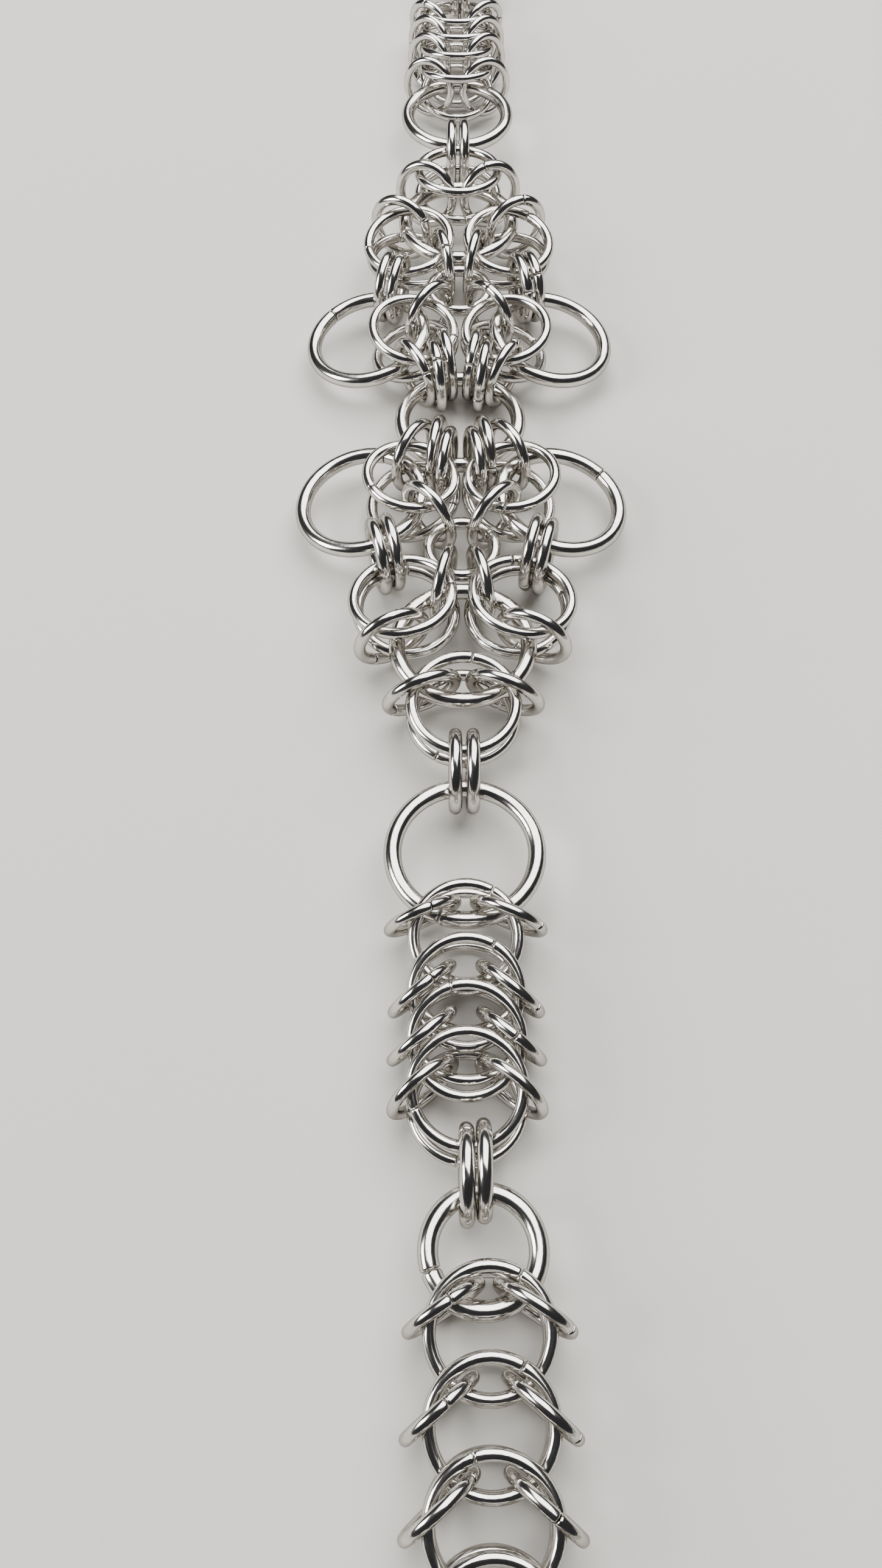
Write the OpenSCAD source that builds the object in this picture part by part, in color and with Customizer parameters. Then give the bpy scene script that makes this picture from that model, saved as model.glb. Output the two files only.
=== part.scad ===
// Chainmail choker of loose steel jump rings, laid on a table as a closed loop.
// The front runs along Y. Its near half is repeated, mirrored, as the far half.
// The loop closes on the right with a return stretch and a clasp.

/* [Rings] */
// Wire of the large rings
large_wire = 1.3; // [1.2:0.05:1.3]
// Middle diameter of the large rings
large_ring = 10.45; // [10.4:0.05:10.5]
// Wire of the medallion rings
medium_wire = 0.95; // [0.85:0.05:0.95]
// Middle diameter of the outer medallion rings
medium_ring = 7.9; // [7.9:0.02:7.92]
// Middle diameter of the inner medallion rings
inner_ring = 7.4; // [7.38:0.02:7.4]
// Wire of the upright connector rings
heavy_wire = 1; // [0.9:0.05:1]
// Middle diameter of the upright connector rings
heavy_ring = 5.5; // [5.5:0.02:5.52]
// Wire of the small weave rings
small_wire = 0.95; // [0.85:0.05:0.95]
// Middle diameter of the small weave rings
small_ring = 5.6; // [5.6:0.02:5.62]
// Wire of the rings in the box chains
chain_wire = 0.8; // [0.75:0.05:0.8]
// Middle diameter of the broad rings in the box chains
broad_ring = 7.3; // [7.3:0.02:7.32]
// Middle diameter of the narrow rings in the box chains
narrow_ring = 5.1; // [5.1:0.02:5.12]
// Middle diameter of the end rings
end_ring = 6.9; // [6.8:0.05:6.95]
// Width of the butt seam in a ring
seam_gap = 0.05; // [0.03:0.01:0.08]

/* [Box chains] */
// Step from pair to pair in the wide chain
wide_pitch = 3.3; // [3.3:0.02:3.32]
// Step from pair to pair in the side chain
side_pitch = 4.9; // [4.9:0.02:4.92]
// Number of pairs in the side chain before the near corner
near_pairs = 4; // [1:1:4]
// Number of pairs between a corner and the clasp
back_pairs = 14; // [2:1:14]

/* [Loop] */
// Y of the corner that the far end turns at
far_y = 91; // [91:1:95]
// Y of the corner that the near end turns at
near_y = -106; // [-111:1:-106]
// X where the return stretch leaves the far corner
far_x = 62; // [58:1:64]
// X where the return stretch meets the near corner
near_x = 28; // [26:1:30]
// Radius of the corners
corner_r = 10; // [9:0.5:10]
// Width of the plain stretches round the corners
plain_width = 11; // [10.8:0.1:11.2]
// Height of the plain stretches round the corners
plain_height = 5.8; // [5.6:0.1:6]

/* [Clasp] */
// Diameter of the barrel
barrel = 3.8; // [3.4:0.1:4]
// Length of the barrel
barrel_length = 9; // [8:0.5:10]
// Wire of the eyes
eye_wire = 1.2; // [1.1:0.1:1.3]
// Middle diameter of the eyes
eye_ring = 4.6; // [4.5:0.1:4.8]

/* [Hidden] */

// Height of the middle of the medallion above the table
mid = 3.65;
// How much lower the chains lie, and the clasp
sunk = 0.65;
clasp_sunk = 0.7;

// Ring kinds: wire, middle diameter
LARGE = [large_wire, large_ring];
MEDIUM = [medium_wire, medium_ring];
INNER = [medium_wire, inner_ring];
HEAVY = [heavy_wire, heavy_ring];
SMALL = [small_wire, small_ring];
END = [large_wire, end_ring];
BROAD = [chain_wire, broad_ring];
NARROW = [chain_wire, narrow_ring];

// Halves of the front: name, axis to mirror, shift of the seams
NEAR = ["near", [0, 0, 0], 0];
FAR = ["far", [0, 1, 0], 200];
// Sides of the front: name, axis to mirror, shift of the seams
RIGHT = ["right", [0, 0, 0], 0];
LEFT = ["left", [1, 0, 0], 70];

// Rings of the near half: kind, place from the centre ring, turn, seam.
// Of two twins left and right, the right one is listed.
CENTRE = [LARGE, [0, 0, -1.25], [0, 0, 0], 75];
SIDE = [LARGE, [8.5, -9.85, -0.7], [0, 11, 3], 40];
INNER_UPPER = [INNER, [4.25, -8.85, 1.3], [-4, -6, 0], 260];
INNER_LOWER = [INNER, [4.15, -9.15, -1.45], [4, 14, -2], 130];
OUTER_UPPER = [MEDIUM, [4.8, -21.25, 1.1], [-6, 6, 0], 100];
OUTER_LOWER = [MEDIUM, [4.55, -21.15, -1.05], [5, -5, 0], 20];
MIDDLE = [HEAVY, [0, -15.6, 0], [0, 0, 0], 30];
KNOT = [LARGE, [0, -25.25, 0.1], [0, 0, 0], 320];
CAP_UPPER = [MEDIUM, [0, -31.45, 1.35], [6, 0, 0], 80];
CAP_LOWER = [MEDIUM, [0, -31.25, -1.1], [-1, 0, 0], 240];
LINK = [LARGE, [0, -43.1, -0.3], [0, 0, 0], 250];
LAST = [END, [0.9, -70, -0.5], [0, 0, 0], 200];
WEAVE = [
  [HEAVY, [1.2, -6.05, -0.25], [92, -2, 101], 200],
  [HEAVY, [2.1, -4.7, -0.3], [92, 1, 100], 160],
  [SMALL, [4.05, -5, -0.3], [86, 0, -58], 230],
  [SMALL, [2.75, -12.15, 0.2], [90, -2, 48], 250],
  [HEAVY, [5.8, -15.9, 0], [89, -3, 75], 190],
  [HEAVY, [6.9, -16.3, -0.1], [90, 1, 75], 220],
  [SMALL, [1.5, -19.2, 0.05], [90, -1, -76], 200],
  [SMALL, [5.6, -24.5, 0.15], [93, 4, -25], 240],
  [SMALL, [3.2, -29.7, 0.05], [101, 0, -22], 260],
];
CONNECTORS = [
  [HEAVY, [-0.65, -36.5, -0.15], [90, 0, 90], 30],
  [HEAVY, [0.65, -36.5, -0.15], [90, 0, 90], 300],
  [HEAVY, [-0.1, -65.5, -0.35], [90, 0, 90], 40],
  [HEAVY, [1, -65.25, -0.35], [90, 0, 90], 310],
];
// Units of the box chains: narrow ring of the right side, broad ring above, broad ring below.
// Units with names in FIRST and LAST are placed from the centre ring, the others from their own middle.
WIDE_FIRST = [
  [NARROW, [3, -48.05, -0.25], [100, 0, -24], 30],
  [BROAD, [0, -49.9, 0.7], [14.5, 0, 0], 60],
  [BROAD, [0, -49.1, -1.5], [-9.5, 0, 0], 120],
];
WIDE_UNIT = [
  [NARROW, [3, 0.25, -0.65], [100, 0, -40], 30],
  [BROAD, [0, -0.35, 0.55], [18, 0, 0], 60],
  [BROAD, [0, 0.75, -1.75], [-18, 0, 0], 120],
];
WIDE_LAST = [
  [NARROW, [2.9, -59.9, -0.7], [86, 0, -39], 170],
  [BROAD, [0, -60.3, 0.6], [15.5, 0, 0], 200],
  [BROAD, [0, -60.95, -1.7], [-6, 0, 0], 260],
];
LONG_FIRST = [
  [NARROW, [2.75, -73.25, -0.6], [89, 0, -32], 30],
  [BROAD, [0, -74.6, 0.5], [10, 0, 0], 60],
  [BROAD, [0, -74.65, -1.6], [-8, 0, 0], 120],
];
LONG_UNIT = [
  [NARROW, [3, 0.95, -0.55], [91, 0, -39], 30],
  [BROAD, [0, 0, 0.65], [11.5, 0, 0], 60],
  [BROAD, [0, 0, -1.75], [-11.5, 0, 0], 120],
];
// Rings next to the clasp, from its middle: upright ring, broad ring above, broad ring below
BACK_FIRST = [
  [HEAVY, [0, -10.6, -0.38], [90, 0, 90], 40],
  [BROAD, [0, -15.6, 0.25], [4, 0, 0], 60],
  [BROAD, [0, -15.6, -1.2], [-4, 0, 0], 120],
];
// Turn of the seams from unit to unit
seam_step = 47;
// Units between the first and the last of the wide chain
wide_units = 2;
// Middle of the second unit of each chain
wide_y = -53.45;
side_x = 1.2;
side_y = -79.55;
back_y = -20.6;

// The return stretch: its heading from +Y, its middle, and where the plain stretches start
slant = atan2(far_x - near_x, far_y - near_y);
clasp_at = [far_x + near_x, far_y + near_y] / 2;
end_gap = 1;
back_end = -back_y + (back_pairs - 2) * side_pitch + broad_ring / 2 + end_gap;
far_turn = corner([far_x, far_y], 0, -90 - slant);

// The loop is centred on the origin, from the left side rings to the far corner
left_reach = SIDE[1].x + large_ring / 2 * cos(SIDE[2].y) + large_wire / 2;
right_reach = max([for (p = far_turn) p.x]) + plain_width / 2;
home = -[right_reach - left_reach, far_y + near_y] / 2;

function dir(a) = [cos(a), sin(a)];

// Points of a rounded corner at v, come to at heading a and left after the turn.
function corner(v, a, turn) =
  let (
    s = sign(turn),
    start = v - corner_r * tan(abs(turn) / 2) * dir(a),
    centre = start + corner_r * dir(a + 90 * s)
  )
  [for (t = [0 : 0.2 : 1]) centre + corner_r * dir(a - 90 * s + turn * t)];

// One jump ring lying flat, with its butt seam at the angle cut.
module ring(kind, cut) {
  open = seam_gap / (kind[1] / 2) * 180 / PI;
  rotate([0, 0, cut + open / 2])
    rotate_extrude(angle = 360 - open, $fn = 48)
      translate([kind[1] / 2, 0]) circle(d = kind[0], $fn = 24);
}

// A ring of a table row.
module placed(row, shift = 0)
  translate([row[1][0], row[1][1], mid + row[1][2]])
    rotate(row[2]) ring(row[0], row[3] + shift);

module both_sides(row, shift)
  for (side = [RIGHT, LEFT]) mirror(side[1]) placed(row, shift + side[2]);

module front(half) color("silver") translate(home) mirror(half[1]) children();

module single(row, half, side = RIGHT)
  front(half) mirror(side[1]) placed(row, half[2] + side[2]);

module weave(half) front(half) for (row = WEAVE) both_sides(row, half[2]);

module connectors(half) front(half) for (row = CONNECTORS) placed(row, half[2]);

module unit(rows, shift) {
  both_sides(rows[0], shift);
  placed(rows[1], shift);
  placed(rows[2], shift);
}

// A stretch of box chain along -Y.
module box_chain(rows, step, units, shift)
  for (k = [0 : units - 1])
    translate([0, -k * step, 0]) unit(rows, shift + seam_step * k);

module wide_chain(half)
  front(half) {
    unit(WIDE_FIRST, half[2]);
    translate([0, wide_y, 0]) box_chain(WIDE_UNIT, wide_pitch, wide_units, half[2]);
    unit(WIDE_LAST, half[2]);
  }

module side_chain(half, pairs)
  front(half) translate([side_x, 0, 0]) {
    unit(LONG_FIRST, half[2]);
    if (pairs > 1)
      translate([0, side_y, 0]) box_chain(LONG_UNIT, side_pitch, pairs - 1, half[2]);
  }

// Frame of the return stretch: its middle, with -Y along the stretch to the near end.
module on_return() color("silver") translate(home + clasp_at) rotate([0, 0, -slant]) children();

// From a corner to the clasp, with the ring that takes the clasp's eye.
module back_chain(half)
  on_return() mirror(half[1]) {
    for (row = BACK_FIRST) placed(row, half[2]);
    translate([0, back_y, 0]) box_chain(LONG_UNIT, side_pitch, back_pairs - 1, half[2]);
  }

// A plain stretch of chain swept along points, flat as the chain is.
module plain_stretch(points) {
  sides = 12;
  count = len(points);
  tube = [for (i = [0 : count - 1])
    let (
      ahead = points[min(i + 1, count - 1)] - points[max(i - 1, 0)],
      across = [ahead[1], -ahead[0]] / norm(ahead) * plain_width / 2
    )
    for (k = [0 : sides - 1])
      let (a = 360 * (k + 0.5) / sides, w = cos(a) / cos(180 / sides))
      [points[i][0] + across[0] * w, points[i][1] + across[1] * w, mid - sunk + plain_height / 2 * sin(a)]
  ];
  skin = [for (i = [0 : count - 2], k = [0 : sides - 1])
    let (a = i * sides + k, b = i * sides + (k + 1) % sides)
    [a, a + sides, b + sides, b]];
  ends = [[for (k = [0 : sides - 1]) k], [for (k = [sides - 1 : -1 : 0]) (count - 1) * sides + k]];
  color("silver") translate(home) polyhedron(tube, concat(skin, ends));
}

module corner_near()
  plain_stretch(concat(
    [[side_x, side_y - (near_pairs - 2) * side_pitch - broad_ring / 2 - end_gap]],
    corner([side_x, near_y], -90, 90),
    corner([near_x, near_y], 0, 90 - slant),
    [clasp_at - back_end * dir(90 - slant)]
  ));

module corner_far()
  plain_stretch(concat(
    [[side_x, broad_ring / 2 + end_gap - LONG_FIRST[1][1].y]],
    corner([side_x, far_y], 90, -90),
    far_turn,
    [clasp_at + back_end * dir(90 - slant)]
  ));

module clasp()
  on_return() translate([0, 0, mid - clasp_sunk]) {
    rotate([90, 0, 0]) cylinder(d = barrel, h = barrel_length, center = true, $fn = 48);
    for (half = [NEAR, FAR])
      mirror(half[1]) translate([0, -barrel_length / 2 - eye_ring / 2, 0])
        rotate_extrude($fn = 48) translate([eye_ring / 2, 0]) circle(d = eye_wire, $fn = 24);
  }

single(CENTRE, NEAR);  // centre_ring
for (half = [NEAR, FAR]) {
  for (side = [RIGHT, LEFT]) {
    at = str(half[0], "_", side[0]);
    single(SIDE, half, side);
    single(INNER_UPPER, half, side);
    single(INNER_LOWER, half, side);
    single(OUTER_UPPER, half, side);
    single(OUTER_LOWER, half, side);
  }
  single(MIDDLE, half);
  single(KNOT, half);
  single(CAP_UPPER, half);
  single(CAP_LOWER, half);
  single(LINK, half);
  single(LAST, half);
  weave(half);
  connectors(half);
  wide_chain(half);
  back_chain(half);
}
side_chain(NEAR, near_pairs);  // side_chain_near
side_chain(FAR, 1);  // side_chain_far
corner_near();
corner_far();
clasp();
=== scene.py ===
# %% [markdown]
# # A chainmail choker of steel jump rings
# Chainmail is made of jump rings: wire wound on a rod, cut into rings, and closed
# one through the other with two pliers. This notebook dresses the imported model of
# such a choker, which lies on a table with its front along Y. Every ring is measured
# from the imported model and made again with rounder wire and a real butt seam, so a
# ring never leaves the place that the model gives it.

# %% Load the frame
import math

import bpy
import numpy as np
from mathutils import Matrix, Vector


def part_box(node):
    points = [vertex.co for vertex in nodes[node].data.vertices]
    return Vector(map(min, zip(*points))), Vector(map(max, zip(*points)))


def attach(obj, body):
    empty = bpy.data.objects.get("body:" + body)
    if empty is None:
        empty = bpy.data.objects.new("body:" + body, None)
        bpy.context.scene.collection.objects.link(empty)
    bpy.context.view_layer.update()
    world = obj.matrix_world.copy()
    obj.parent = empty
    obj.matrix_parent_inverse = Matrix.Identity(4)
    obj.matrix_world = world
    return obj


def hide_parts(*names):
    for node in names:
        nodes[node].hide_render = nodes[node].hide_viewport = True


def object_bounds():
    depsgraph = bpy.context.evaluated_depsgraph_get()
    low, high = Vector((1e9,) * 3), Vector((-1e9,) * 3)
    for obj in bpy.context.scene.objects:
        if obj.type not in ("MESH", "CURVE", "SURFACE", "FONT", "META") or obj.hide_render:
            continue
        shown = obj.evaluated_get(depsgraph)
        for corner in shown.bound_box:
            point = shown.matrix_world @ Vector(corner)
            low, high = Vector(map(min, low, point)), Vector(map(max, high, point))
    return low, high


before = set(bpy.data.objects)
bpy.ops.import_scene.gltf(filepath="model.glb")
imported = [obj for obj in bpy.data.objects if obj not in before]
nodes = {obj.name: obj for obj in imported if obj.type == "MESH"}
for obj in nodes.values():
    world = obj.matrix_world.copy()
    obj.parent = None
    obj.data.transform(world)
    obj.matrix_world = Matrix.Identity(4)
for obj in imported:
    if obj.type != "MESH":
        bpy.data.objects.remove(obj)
cad_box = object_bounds()
MM = 0.001
size = (cad_box[1] - cad_box[0]) / MM
print(f"{len(nodes)} nodes, {size.x:.1f} x {size.y:.1f} x {size.z:.1f} mm")

# %% [markdown]
# ## Measuring a ring
# A node can hold many loose rings in one mesh. Vertices that lie in one spot are
# taken as one, and then each vertex takes the lowest number among its neighbours
# until nothing changes: what shares a number is one ring. Numpy does this on whole
# arrays, which is much faster in Blender than walking from vertex to vertex.


# %% Loose parts of a mesh
def loose_parts(obj):
    """Arrays of corner places in metres, one array for each loose part."""
    places = np.empty(len(obj.data.vertices) * 3, np.float32)
    obj.data.vertices.foreach_get("co", places)
    ends = np.empty(len(obj.data.edges) * 2, np.int32)
    obj.data.edges.foreach_get("vertices", ends)
    rounded = np.round(places.reshape(-1, 3).astype(float), 7)
    spots, same = np.unique(rounded, axis=0, return_inverse=True)
    a, b = same.reshape(-1)[ends.reshape(-1, 2)].T
    label = np.arange(len(spots))
    while True:
        low = np.minimum(label[a], label[b])
        new = label.copy()
        np.minimum.at(new, a, low)
        np.minimum.at(new, b, low)
        if (new == label).all():
            return [spots[label == k] for k in np.unique(label)]
        label = new


# %% [markdown]
# A ring is a torus, and three short fits find it: the plane in which its corners
# spread least, the circle through them in that plane, and the line that ties the
# squared distance from the centre to the distance from the axis, whose slope and
# height hold the ring's radius and the wire's. The seam is the place where two rows
# of corners stand closest together.


# %% Fit a torus
SLANTED = (0.31, 0.52, 0.8)  # a direction that no ring's axis has
SAME_ROW = 0.002  # radians


def measured(points):
    """Centre, axis, seam direction, ring radius and wire radius of one ring."""
    middle = points.mean(axis=0)
    axis = np.linalg.svd(points - middle, full_matrices=False)[2][2]
    across = np.cross(axis, SLANTED)
    across /= np.linalg.norm(across)
    along = np.cross(axis, across)
    flat = (points - middle) @ np.array([across, along]).T
    fit = np.c_[flat, np.ones(len(flat))]
    shift = np.linalg.lstsq(fit, (flat**2).sum(axis=1), rcond=None)[0][:2] / 2
    height = (points - middle) @ axis
    lift = (height.max() + height.min()) / 2
    centre = middle + shift[0] * across + shift[1] * along + lift * axis
    flat -= shift
    away = np.linalg.norm(flat, axis=1)
    slope, level = np.polyfit(away, away**2 + (height - lift) ** 2, 1)
    turn = np.sort(np.arctan2(flat[:, 1], flat[:, 0]))
    turn = turn[np.r_[True, np.diff(turn) > SAME_ROW]]
    gaps = np.diff(np.r_[turn, turn[0] + 2 * np.pi])
    first = np.argmin(gaps)
    seam = turn[first] + gaps[first] / 2
    start = np.cos(seam) * across + np.sin(seam) * along
    return centre, axis, start, slope / 2, math.sqrt(level + slope**2 / 4)


for name in ("centre_ring", "middle_ring_near"):
    ring = measured(loose_parts(nodes[name])[0])
    print(f"{name}: radius {ring[3] / MM:.3f} mm, wire {2 * ring[4] / MM:.3f} mm")

# %% [markdown]
# ## The camera
# The photograph looks down on the choker from its near end. The eye stands above
# the near chain and looks along +Y, 61.9 degrees below the horizon. A portrait
# frame has its long side upright, and Blender's sensor width is that long side.

# %% Camera
HEART = measured(loose_parts(nodes["centre_ring"])[0])[0]
EYE_FROM_HEART_MM = (-1.72, -79.1)
EYE_HEIGHT_MM = 81.25
DOWN = 61.9
FOCAL_PX = 1950
LONG_SIDE_PX = 2576
EYE = Vector((*(HEART[:2] + np.array(EYE_FROM_HEART_MM) * MM), EYE_HEIGHT_MM * MM))

view = bpy.data.cameras.new("view")
view.sensor_width = 36
view.lens = view.sensor_width * FOCAL_PX / LONG_SIDE_PX
view.clip_start = 0.005
camera = bpy.data.objects.new("camera", view)
camera.location = EYE
camera.rotation_euler = (math.radians(90 - DOWN), 0, 0)
bpy.context.scene.collection.objects.link(camera)
bpy.context.scene.camera = camera
print(f"lens {view.lens:.2f} mm, eye {EYE.z / MM:.0f} mm above the table")


# %% [markdown]
# ## Helpers for materials
# Colours are written as sRGB hex values, as a paint program shows them, and one
# function turns them to the linear numbers that the shader works with. Another adds
# a node with its settings and links.


# %% Colour and nodes
def linear(code):
    """Linear colour with alpha of an sRGB hex value."""
    parts = [int(code[k : k + 2], 16) / 255 for k in (1, 3, 5)]
    return (*[c / 12.92 if c <= 0.04045 else ((c + 0.055) / 1.055) ** 2.4 for c in parts], 1)


def new_material(name):
    """An empty node material and its tree."""
    material = bpy.data.materials.new(name)
    material.use_nodes = True
    material.node_tree.nodes.clear()
    return material, material.node_tree


def add(tree, kind, settings=None, **inputs):
    """A node of that kind. An input that gets a socket is linked, another is set."""
    node = tree.nodes.new(kind)
    for name, value in (settings or {}).items():
        setattr(node, name, value)
    for name, value in inputs.items():
        socket = node.inputs[name.replace("_", " ")]
        if isinstance(value, bpy.types.NodeSocket):
            tree.links.new(value, socket)
        else:
            socket.default_value = value
    return node


# %% [markdown]
# ## Polished stainless steel
# The rings are stainless steel wire, drawn through a die and then tumbled with small
# steel shot. Drawing leaves faint lines along the wire, and the shot burnishes them
# almost away and leaves a soft unevenness, so reflections are sharp but waver a
# little. Stainless steel reflects about two thirds of the light and is a touch warm.
# Seen along its surface a metal like this dips before it turns mirror-bright, which
# the shader's specular tint sets: it keeps a dark outline round each wire.
# Each ring carries a map in millimetres, along the wire and round it, so the lines
# can follow the wire wherever the ring lies.

# %% Steel
DRAW_LINE_MM = 0.12
DRAW_LINE_LENGTH_MM = 3
BURNISH_MM = 0.9
SMOOTHEST = 0.1
ROUGHEST = 0.2


def polished_steel():
    """Drawn and tumbled stainless steel wire."""
    material, tree = new_material("polished_stainless_steel")
    wire = add(tree, "ShaderNodeUVMap", {"uv_map": "wire"}).outputs["UV"]
    place = add(tree, "ShaderNodeTexCoord").outputs["Object"]
    stretched = (1 / DRAW_LINE_LENGTH_MM, 1 / DRAW_LINE_MM, 1)
    lines = add(tree, "ShaderNodeMapping", Vector=wire, Scale=stretched).outputs[0]
    drawn = add(tree, "ShaderNodeTexNoise", Vector=lines, Scale=1, Detail=3, Roughness=0.6)
    uneven = add(tree, "ShaderNodeTexNoise", Vector=place, Scale=1 / (BURNISH_MM * MM), Detail=2)
    shade = add(
        tree,
        "ShaderNodeMapRange",
        Value=drawn.outputs[0],
        From_Min=0.3,
        From_Max=0.7,
        To_Min=SMOOTHEST,
        To_Max=ROUGHEST,
    )
    tone = add(tree, "ShaderNodeValToRGB", Fac=uneven.outputs[0])
    tone.color_ramp.elements[0].position = 0.3
    tone.color_ramp.elements[0].color = linear("#C6C3BE")
    tone.color_ramp.elements[1].position = 0.7
    tone.color_ramp.elements[1].color = linear("#D8D5D0")
    waver = add(
        tree, "ShaderNodeBump", Height=uneven.outputs[0], Strength=0.25, Distance=0.04 * MM
    )
    scored = add(
        tree,
        "ShaderNodeBump",
        Height=drawn.outputs[0],
        Strength=0.2,
        Distance=0.01 * MM,
        Normal=waver.outputs[0],
    )
    steel = add(
        tree,
        "ShaderNodeBsdfPrincipled",
        Base_Color=tone.outputs[0],
        Metallic=1.0,
        Roughness=shade.outputs[0],
        Specular_Tint=linear("#BFBDB9"),
        Normal=scored.outputs[0],
    )
    add(tree, "ShaderNodeOutputMaterial", Surface=steel.outputs[0])
    return material


STEEL = polished_steel()
print(f"{STEEL.name}: {len(STEEL.node_tree.nodes)} nodes")

# %% [markdown]
# ## A jump ring
# A torus from Blender's own menu has no seam, and a curve with a bevel can't round
# its cut ends. So the ring is made from its rows: each row is a circle of points
# round the wire, and the rows follow the ring from one cut end to the other. The
# saw leaves a small burr that tumbling rounds off, so the first rows are a little
# thinner and the seam shows as the fine dark line that a real one has. A table gives
# how many millimetres each of these rows lies from the cut, and its thickness.

# %% Rows of a ring
SIDES = 16
END_ROWS = ((0.0, 0.82), (0.03, 0.92), (0.08, 0.98), (0.15, 1.0))
SEAM_HALF_MM = 0.035
ROWS_BY_RADIUS = ((3, 40), (4, 52), (6, 72))  # ring radius up to, in mm, and rows
MAP_STEP_MM = 37.0  # moves the map on, so that no two rings in a mesh look the same


def row_stations(radius):
    """Angle from the seam and thickness of each row, from one cut end to the other."""
    count = next(rows for up_to, rows in ROWS_BY_RADIUS if radius < up_to * MM)
    ends = [((SEAM_HALF_MM + away) * MM / radius, thick) for away, thick in END_ROWS]
    first = ends[-1][0]
    between = [(a, 1.0) for a in np.linspace(first, 2 * np.pi - first, count)[1:-1]]
    back = [(2 * np.pi - a, thick) for a, thick in reversed(ends)]
    return ends + between + back


# %% Mesh of many rings
def ring_corners(ring):
    """Corner places of a ring, row by row, and the wire map's millimetres for each."""
    centre, axis, start, radius, wire = ring
    side = np.cross(axis, start)
    angle, thick = np.array(row_stations(radius)).T
    round_wire = np.linspace(0, 2 * np.pi, SIDES, endpoint=False)
    out = np.cos(angle)[:, None] * start + np.sin(angle)[:, None] * side
    reach = radius + wire * thick[:, None] * np.cos(round_wire)
    rise = wire * thick[:, None] * np.sin(round_wire)
    corners = centre + reach[..., None] * out[:, None] + rise[..., None] * axis
    along = np.broadcast_to((angle * radius / MM)[:, None], reach.shape)
    return corners.reshape(-1, 3), along, round_wire * wire / MM


def ring_faces(rows, base):
    """Quads between the rows, and a face over each cut end."""
    k = np.arange(SIDES)
    skin = []
    for r in range(rows - 1):
        a = base + r * SIDES
        skin.append(np.c_[a + k, a + SIDES + k, a + SIDES + (k + 1) % SIDES, a + (k + 1) % SIDES])
    last = base + (rows - 1) * SIDES
    return np.concatenate(skin).tolist() + [(base + k).tolist(), (last + k[::-1]).tolist()]


def rings_mesh(name, rings):
    """One mesh of all these rings, smooth, with the wire map."""
    corners, faces, maps, base = [], [], [], 0
    for number, ring in enumerate(rings):
        places, along, around = ring_corners(ring)
        rows = len(places) // SIDES
        corners.append(places)
        faces += ring_faces(rows, base)
        start = number * MAP_STEP_MM
        for r in range(rows - 1):
            for s in range(SIDES):
                low, high = along[r, 0] + start, along[r + 1, 0] + start
                left, right = around[s], around[s] + around[1]
                maps += [low, left, high, left, high, right, low, right]
        maps += [start, 0.0] * (2 * SIDES)
        base += len(places)
    mesh = bpy.data.meshes.new(name)
    mesh.from_pydata(np.concatenate(corners).tolist(), [], faces)
    mesh.polygons.foreach_set("use_smooth", [len(f) == 4 for f in faces])
    mesh.uv_layers.new(name="wire").data.foreach_set("uv", maps)
    mesh.materials.append(STEEL)
    mesh.update()
    return mesh


# %% [markdown]
# ## Every ring of the choker
# Each node of rings gets one piece, which replaces it and rides on the same body.

# %% Rings for each node
PLAIN = ("corner_near", "corner_far", "clasp")


def put(piece_name, mesh, node):
    """A piece with this mesh in the place of a node."""
    piece = bpy.data.objects.new(piece_name, mesh)
    bpy.context.scene.collection.objects.link(piece)
    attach(piece, "root")
    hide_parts(node)
    return piece


RINGS = {}
for name in sorted(nodes):
    if name in PLAIN:
        continue
    RINGS[name] = [measured(part) for part in loose_parts(nodes[name])]
    piece = put(name + "_wire", rings_mesh(name + "_wire", RINGS[name]), name)
    print(f"{piece.name}: {len(RINGS[name])} rings, {len(piece.data.polygons)} faces")

# %% [markdown]
# ## The chain round the two corners
# At the corners the model has a plain flat tube in place of the chain, so there the
# box chain runs on here. A box chain repeats one unit: two broad rings that lie over
# each other and two narrow rings that stand and hold them to the next pair. The
# stretch is first a path of lines and arcs along the middle of the tube. The units
# then go along it at equal steps, and each turns with the path.

# %% Points along the chain
CORNER_RADIUS = 10 * MM
TUBE_HALF = 5.5 * MM
UP = np.array([0, 0, 1.0])


def last_pair(name, towards):
    """Middle between the two broad rings that lie furthest that way."""
    ends = sorted(RINGS[name], key=lambda ring: float(np.dot(ring[0], towards)))[-4:]
    broad = sorted(ends, key=lambda ring: ring[3])[-2:]
    return (broad[0][0] + broad[1][0]) / 2


def rounded_path(points):
    """Pieces of a flat path with rounded corners: start, heading, length and bend."""
    pieces, at = [], np.array(points[0])
    for here, after in zip(points[1:-1], points[2:]):
        into = (here - at) / np.linalg.norm(here - at)
        out = (after - here) / np.linalg.norm(after - here)
        turn = math.atan2(into[0] * out[1] - into[1] * out[0], into @ out)
        cut = CORNER_RADIUS * math.tan(abs(turn) / 2)
        pieces.append((at, into, float(np.linalg.norm(here - at)) - cut, 0))
        pieces.append((here - into * cut, into, CORNER_RADIUS * abs(turn), math.copysign(1, turn)))
        at = here + out * cut
    pieces.append((at, out, float(np.linalg.norm(points[-1] - at)), 0))
    return pieces


def along_path(pieces, distance):
    """Place, heading and bend that far along the path: 1 is a left turn, -1 a right one."""
    for start, heading, length, bend in pieces:
        if distance <= length or start is pieces[-1][0]:
            break
        distance -= length
    if not bend:
        return start + heading * distance, heading, 0
    angle = bend * distance / CORNER_RADIUS
    inward = np.array([-heading[1], heading[0]]) * bend * CORNER_RADIUS
    c, s = math.cos(angle), math.sin(angle)
    spin = np.array([[c, -s], [s, c]])
    return start + inward - spin @ inward, spin @ heading, bend


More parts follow.
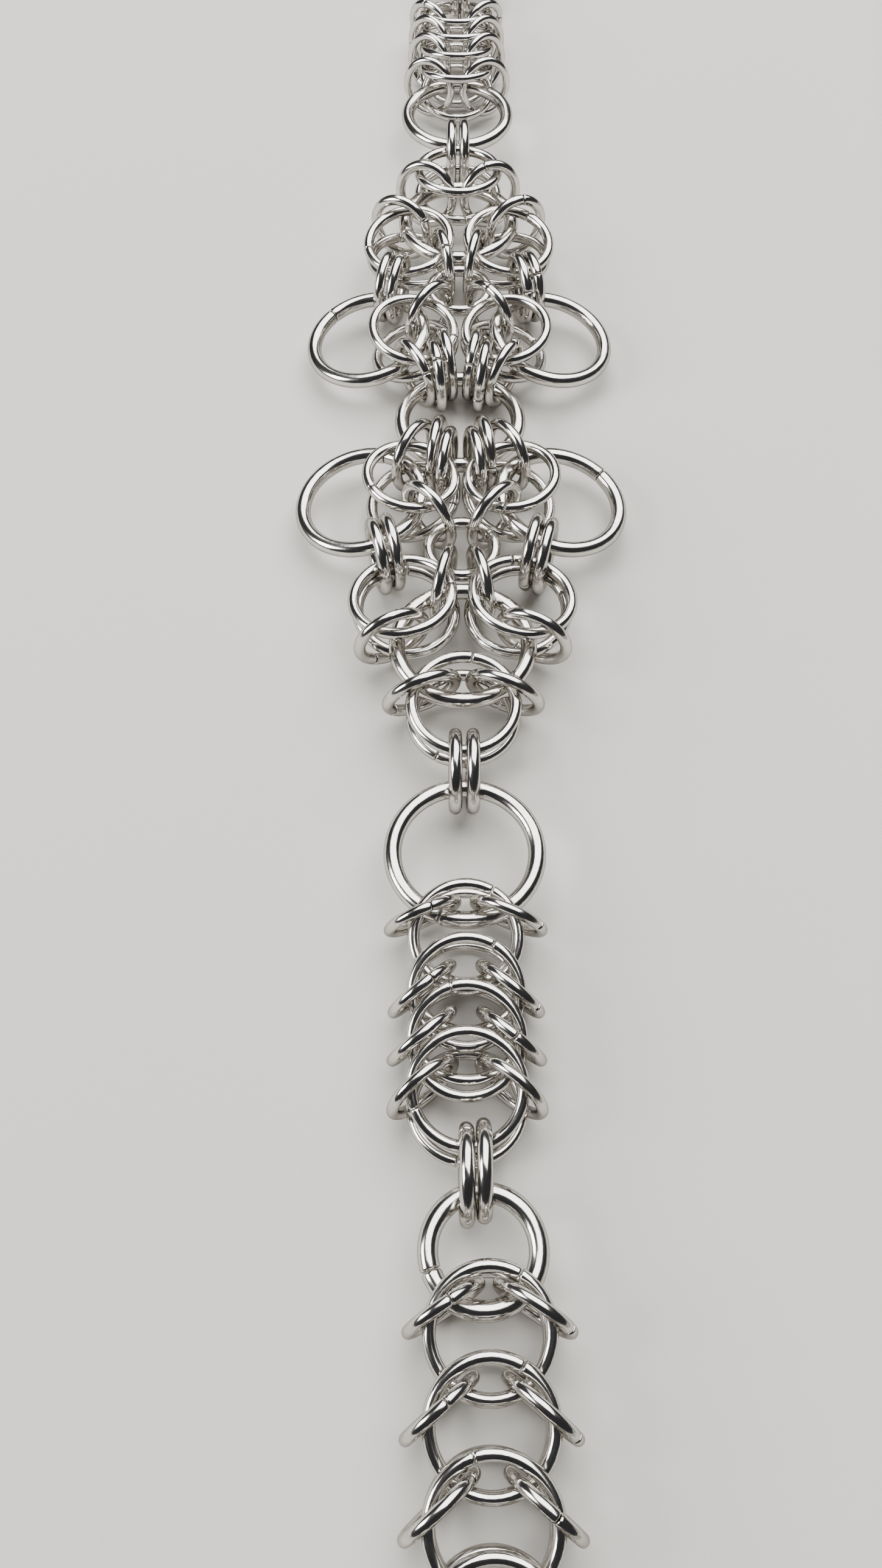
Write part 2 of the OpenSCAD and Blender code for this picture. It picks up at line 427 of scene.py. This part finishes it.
# %% [markdown]
# Each ring is placed from the path in the chain's own directions: across it, back
# along it and up. A ring's turn is given as in CAD, by three angles round these.


# %% One ring on the path
NEARLY_ALONG = 0.9  # cosine of the angle between two directions


def ring_on_path(pieces, distance, middle, size, place, lean, seam):
    """A ring placed in millimetres from the path, with its seam turned that far."""
    spot, heading, _ = along_path(pieces, distance)
    back = np.array([-heading[0], -heading[1], 0])
    across = np.cross(back, UP)
    x, y, z = (math.radians(angle) for angle in lean)
    tilt = np.array([math.sin(y) * math.cos(x), -math.sin(x), math.cos(x) * math.cos(y)])
    c, s = math.cos(z), math.sin(z)
    tilt = np.array([c * tilt[0] - s * tilt[1], s * tilt[0] + c * tilt[1], tilt[2]])
    axis = tilt[0] * across + tilt[1] * back + tilt[2] * UP
    centre = np.array([*spot, middle]) + (place[0] * across + place[1] * back + place[2] * UP) * MM
    first = np.cross(axis, across if abs(axis @ across) < NEARLY_ALONG else UP)
    first /= np.linalg.norm(first)
    cut = math.cos(seam) * first + math.sin(seam) * np.cross(axis, first)
    return centre, axis, cut, size[0] / 2 * MM, size[1] / 2 * MM


# %% [markdown]
# A bend squeezes the rings on its inner side and spreads them on its outer side, so
# there the broad rings lean and roll a little more and the narrow rings move over.
# These few numbers were chosen so that no ring cuts into another, even in a bend.

# %% One unit of box chain
BROAD_MM = (7.3, 0.8)
NARROW_MM = (5.1, 0.8)
NARROW_ACROSS_MM = 2.9
NARROW_BACK_MM = -1.4
NARROW_LEAN = 91
NARROW_TURN = 35.5
BROAD_RISE_MM = 1.22
BROAD_LEAN = 12.3

# What a bend adds
MOVE_OVER_MM = 0.16
MOVE_IN_MM = 0.08
MORE_RISE_MM = 0.04
MORE_LEAN = 0.9
ROLL = 1.7

SEAM_STEP = 0.8  # radians from one unit to the next


def box_unit(pieces, distance, step, middle, number):
    """Two narrow rings and the two broad rings that they hold to the pair before."""
    behind = along_path(pieces, distance - step / 2)[2]
    bend = along_path(pieces, distance)[2]
    tight = abs(bend)
    seam = SEAM_STEP * number
    rings = []
    for side in (1, -1):
        place = (NARROW_ACROSS_MM * side + MOVE_OVER_MM * behind, NARROW_BACK_MM, 0)
        lean = (NARROW_LEAN, 0, -NARROW_TURN * side)
        half_way = distance - step / 2
        rings.append(ring_on_path(pieces, half_way, middle, NARROW_MM, place, lean, seam + side))
    for above in (1, -1):
        place = (-MOVE_IN_MM * bend, 0, (BROAD_RISE_MM + MORE_RISE_MM * tight) * above)
        lean = ((BROAD_LEAN + MORE_LEAN * tight) * above, -ROLL * bend * above, 0)
        rings.append(ring_on_path(pieces, distance, middle, BROAD_MM, place, lean, seam + above))
    return rings


# %% [markdown]
# The chain comes to each corner from both sides, and a stretch of chain has a front
# and a back. The two stretches meet back to back, where two upright rings join them.
# They stand in a straight piece, where the two end pairs lie level with each other.

# %% Both corners
JOINT_MM = 10
STEP_MM = 5
TAIL_MM = 3.54
UPRIGHT_MM = (5.5, 1.0)
UPRIGHT_HEIGHT_MM = 3.3
UPRIGHT_SIDE_MM = 0.65
UPRIGHT_LEAN = (90, 0, 90)
CLASP = np.array((Vector(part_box("clasp")[0]) + Vector(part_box("clasp")[1])) / 2)


def corner_chain(points, middle, first_units):
    """All rings from the chain at the path's start to the chain at its end."""
    there = rounded_path(points)
    back = rounded_path(points[::-1])
    length = sum(piece[2] for piece in there)
    count = round((length - JOINT_MM * MM) / (STEP_MM * MM))
    step = (length - JOINT_MM * MM) / count
    rings, tails = [], []
    for pieces, units in ((there, first_units), (back, count - first_units)):
        for k in range(1, units + 1):
            rings += box_unit(pieces, k * step, step, middle, k)
        spot, heading, _ = along_path(pieces, units * step)
        tails.append(spot + heading * TAIL_MM * MM)
    apart = np.linalg.norm(tails[1] - tails[0])
    joint = [(tails[0], (tails[1] - tails[0]) / apart, apart, 0)]
    for side in (1, -1):
        place = (UPRIGHT_SIDE_MM * side, 0, UPRIGHT_HEIGHT_MM - middle / MM)
        rings.append(ring_on_path(joint, apart / 2, middle, UPRIGHT_MM, place, UPRIGHT_LEAN, side))
    print(f"{count} units of {step / MM:.2f} mm, joint {apart / MM:.2f} mm wide")
    return rings


def meeting(end, direction, level):
    """Where the line through the end crosses that level of Y."""
    return end + direction * (level - end[1]) / direction[1]


def corner_points(name, sign):
    """Corner points of the path round the near or far corner, and the chain's height."""
    start = last_pair("side_chain_" + name, (0, sign, 0))
    end = last_pair("back_chain_" + name, (0, sign, 0))
    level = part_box("corner_" + name)[0 if sign < 0 else 1][1] - sign * TUBE_HALF
    run = (end - CLASP)[:2]
    run /= np.linalg.norm(run)
    turn = meeting(end[:2], run, level)
    return [start[:2], np.array([start[0], level]), turn, end[:2]], start[2]


# Name, direction along Y, and units between the side chain and the upright rings
CORNERS = (("near", -1, 9), ("far", 1, 7))
for name, sign, first_units in CORNERS:
    points, middle = corner_points(name, sign)
    rings = corner_chain(points, middle, first_units)
    piece_name = "corner_" + name + "_chain"
    piece = put(piece_name, rings_mesh(piece_name, rings), "corner_" + name)
    print(f"{piece.name}: {len(rings)} rings, {len(piece.data.polygons)} faces")

# %% [markdown]
# ## The clasp
# A barrel clasp is turned on a lathe: two halves that screw together, each with a
# knurled grip, a domed end and an eye. A lathe in mesh code is a profile spun round
# an axis, and the knurling is a ripple in the radius. The profile gives the distance
# from the middle and the radius there. The photograph doesn't show the clasp, so it
# stays plain.

# %% Barrel
BARREL_RADIUS_MM = 1.9
BARREL_HALF_MM = 4.5
GRIP_MM = (0.6, 2.7)
PROFILE_MM = (
    (0.0, 1.88), (0.12, 1.9), (0.22, 1.78), (0.5, 1.78), (0.6, 1.9), (2.7, 1.9), (2.8, 1.78),
    (3.0, 1.78), (3.1, 1.9), (3.7, 1.86), (4.1, 1.68), (4.38, 1.3), (4.47, 0.8), (4.5, 0.0),
)
KNURLS = 36
KNURL_DEPTH_MM = 0.06


def finer(profile, most=0.2):
    """The profile with long steps cut into short ones."""
    rows = [profile[0]]
    for (x, radius), (next_x, next_radius) in zip(profile, profile[1:]):
        count = max(1, math.ceil(abs(next_x - x) / most))
        for part in (k / count for k in range(1, count + 1)):
            rows.append((x + (next_x - x) * part, radius + (next_radius - radius) * part))
    return rows


def barrel_mesh(name, centre, along):
    """Both halves of the barrel, spun round its own axis."""
    half = finer(PROFILE_MM)
    rows = [(-x, r) for x, r in reversed(half)] + half[1:]
    sides = KNURLS * 4
    across = np.cross(along, UP)
    angle = np.linspace(0, 2 * np.pi, sides, endpoint=False)
    out = np.cos(angle)[:, None] * across + np.sin(angle)[:, None] * UP
    corners, faces, maps = [], [], []
    for x, radius in rows:
        grip = GRIP_MM[0] < abs(x) < GRIP_MM[1]
        ripple = KNURL_DEPTH_MM * (np.cos(KNURLS * angle) - 1) / 2 if grip else 0
        reach = (radius + ripple) * np.ones(sides) * MM
        corners += (centre + x * MM * along + reach[:, None] * out).tolist()
    for r in range(len(rows) - 1):
        for s in range(sides):
            t = (s + 1) % sides
            faces.append((r * sides + s, (r + 1) * sides + s, (r + 1) * sides + t, r * sides + t))
            left, right = angle[s] * BARREL_RADIUS_MM, (angle[s] + angle[1]) * BARREL_RADIUS_MM
            low, high = rows[r][0], rows[r + 1][0]
            maps += [left, low, left, high, right, high, right, low]
    mesh = bpy.data.meshes.new(name)
    mesh.from_pydata(corners, [], faces)
    mesh.polygons.foreach_set("use_smooth", [True] * len(faces))
    mesh.uv_layers.new(name="wire").data.foreach_set("uv", maps)
    mesh.materials.append(STEEL)
    mesh.update()
    return mesh


run = last_pair("back_chain_far", (0, 1, 0)) - last_pair("back_chain_near", (0, -1, 0))
run[2] = 0
run /= np.linalg.norm(run)
barrel = put("clasp_barrel", barrel_mesh("clasp_barrel", CLASP, run), "clasp")

# %% Eyes
EYE_RADIUS_MM = 2.3
EYE_WIRE_RADIUS_MM = 0.6
eyes = []
for side in (1, -1):
    middle = CLASP + side * (BARREL_HALF_MM + EYE_RADIUS_MM) * MM * run
    eyes.append((middle, UP, -side * run, EYE_RADIUS_MM * MM, EYE_WIRE_RADIUS_MM * MM))
put("clasp_eyes", rings_mesh("clasp_eyes", eyes), "clasp")
print(f"clasp: {len(barrel.data.polygons)} faces, eyes of {2 * EYE_RADIUS_MM} mm middle diameter")

# %% [markdown]
# ## Table and light
# A plain pale table, one wide soft light overhead and a smaller one from the side.
# The room round them is dark, so the polished wire has something dark to reflect
# beside each light, and that is what makes metal read as metal.

# %% Table
HALF_TABLE = 2
edges = [(x * HALF_TABLE, y * HALF_TABLE, 0) for x, y in ((-1, -1), (1, -1), (1, 1), (-1, 1))]
tabletop = bpy.data.meshes.new("table")
tabletop.from_pydata(edges, [], [(0, 1, 2, 3)])
table = bpy.data.objects.new("table", tabletop)
bpy.context.scene.collection.objects.link(table)
matt, matt_tree = new_material("matt_table")
paint = add(matt_tree, "ShaderNodeBsdfPrincipled", Base_Color=linear("#C4C1BB"), Roughness=0.85)
add(matt_tree, "ShaderNodeOutputMaterial", Surface=paint.outputs[0])
tabletop.materials.append(matt)


# %% Light
def soft_light(name, place, target, across, power):
    """A square soft light that faces the target, all in metres."""
    lamp = bpy.data.lights.new(name, "AREA")
    lamp.shape = "SQUARE"
    lamp.size = across
    lamp.energy = power
    light = bpy.data.objects.new(name, lamp)
    light.location = place
    light.rotation_euler = (Vector(target) - Vector(place)).to_track_quat("-Z", "Y").to_euler()
    bpy.context.scene.collection.objects.link(light)
    return light


AIM = Vector(HEART)
soft_light("overhead", AIM + Vector((0.08, 0.24, 0.5)), AIM, across=0.7, power=10.5)
soft_light("side", AIM + Vector((-0.5, -0.1, 0.3)), AIM, across=0.3, power=4)

# %% Room
world = bpy.data.worlds.new("room")
bpy.context.scene.world = world
world.use_nodes = True
room = world.node_tree.nodes["Background"].inputs
room["Color"].default_value = linear("#5A5A5E")
room["Strength"].default_value = 0.4
print(f"room and {len(bpy.data.lights)} lights")
